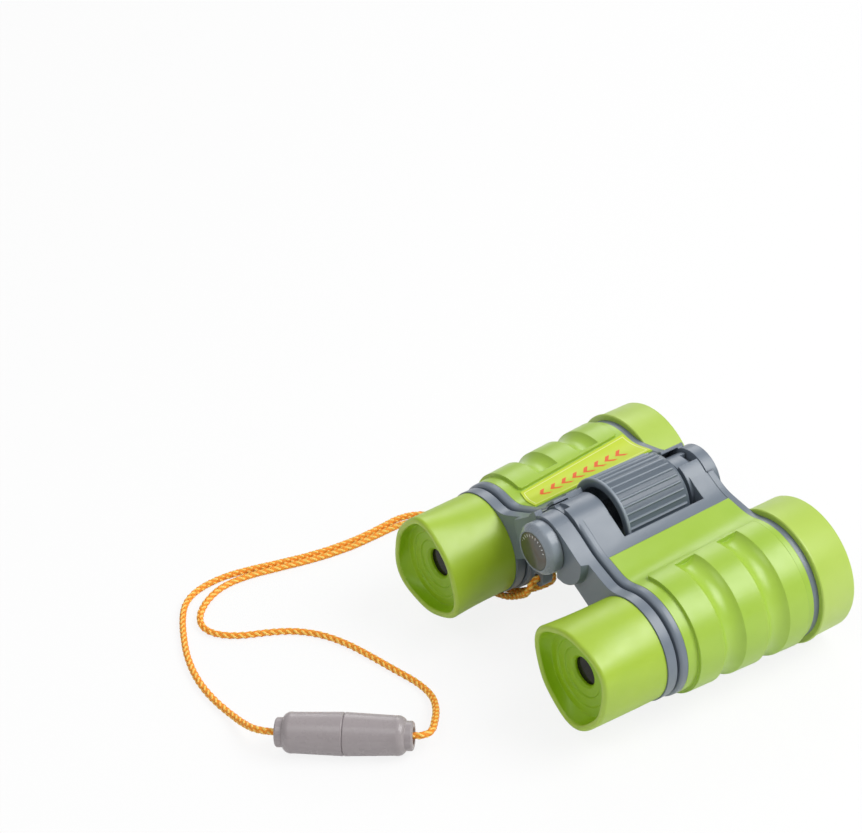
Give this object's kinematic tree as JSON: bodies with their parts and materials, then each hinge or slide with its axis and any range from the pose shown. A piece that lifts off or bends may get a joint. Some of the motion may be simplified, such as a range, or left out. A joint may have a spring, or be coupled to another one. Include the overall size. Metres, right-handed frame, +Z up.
{
  "type": "binoculars",
  "caption": "Folding binoculars with a ribbed centre focus wheel, rubber grip armour, eyecups, and a braided neck cord with a breakaway clasp.",
  "frame": {"origin": "middle of the pair's footprint, on the surface that it stands on, without the neck cord", "axes": "+X across the pair towards the right barrel, +Y along the optical axes towards the objectives, +Z up towards the hinge"},
  "size_m": [0.1476, 0.1544, 0.0503],
  "materials": {
    "shell_grey": "satin moulded ABS",
    "armour_green": "satin soft-touch skin",
    "hood_green": "satin moulded plastic",
    "cup_green": "satin soft rubber",
    "lens_glass": "polished",
    "retainer_black": "matt black",
    "hinge_steel": "turned",
    "pin_grey": "satin",
    "label_film": null,
    "cord_orange": "braided cord",
    "clasp_grey": "satin moulded plastic",
    "wheel_grey": "satin",
    "arm_grey": "satin",
    "tube_black": "matt black",
    "disc_black": "glossy"
  },
  "bodies": {
    "left_barrel": {"left_body_shell": "shell_grey", "left_armour": "armour_green", "left_objective_hood": "hood_green", "left_objective_lens": "lens_glass", "left_lens_retainer": "retainer_black", "hinge_sleeve": "hinge_steel", "rear_hinge_pin": "pin_grey", "label_plate": "label_film", "neck_cord_a": "cord_orange", "neck_cord_b": "cord_orange", "clasp_socket": "clasp_grey", "clasp_plug": "clasp_grey"},
    "right_barrel": {"right_body_shell": "shell_grey", "right_armour": "armour_green", "right_objective_hood": "hood_green", "right_objective_lens": "lens_glass", "right_lens_retainer": "retainer_black"},
    "focus_wheel": {"focus_wheel": "wheel_grey"},
    "left_eyepiece": {"left_bridge_arm": "arm_grey", "left_eyepiece_tube": "tube_black", "left_eyecup": "cup_green", "left_ocular_lens": "lens_glass", "focus_spindle": "hinge_steel", "end_cap": "arm_grey", "cap_disc": "disc_black"},
    "right_eyepiece": {"right_bridge_arm": "arm_grey", "right_eyepiece_tube": "tube_black", "right_eyecup": "cup_green", "right_ocular_lens": "lens_glass"}
  },
  "joints": [
    {"name": "barrel_fold", "type": "hinge", "parent": "left_barrel", "child": "right_barrel", "pos_m": [0, 0, 0.0379], "axis": [0, 1, 0], "range_deg": [0, 33]},
    {"name": "focus_turn", "type": "hinge", "parent": "left_barrel", "child": "focus_wheel", "pos_m": [0, 0.00735, 0.0379], "axis": [0, 1, 0], "range_deg": [0, 360]},
    {"name": "left_focus", "type": "slide", "parent": "left_barrel", "child": "left_eyepiece", "axis": [0, -1, 0], "range_m": [0, 0.006]},
    {"name": "right_focus", "type": "slide", "parent": "right_barrel", "child": "right_eyepiece", "axis": [0, -1, 0], "range_m": [0, 0.006]}
  ],
  "couplings": [
    {"joint": "focus_turn", "follows": "left_focus", "rad_per_m": 1047.2},
    {"joint": "right_focus", "follows": "left_focus", "ratio": 1}
  ]
}
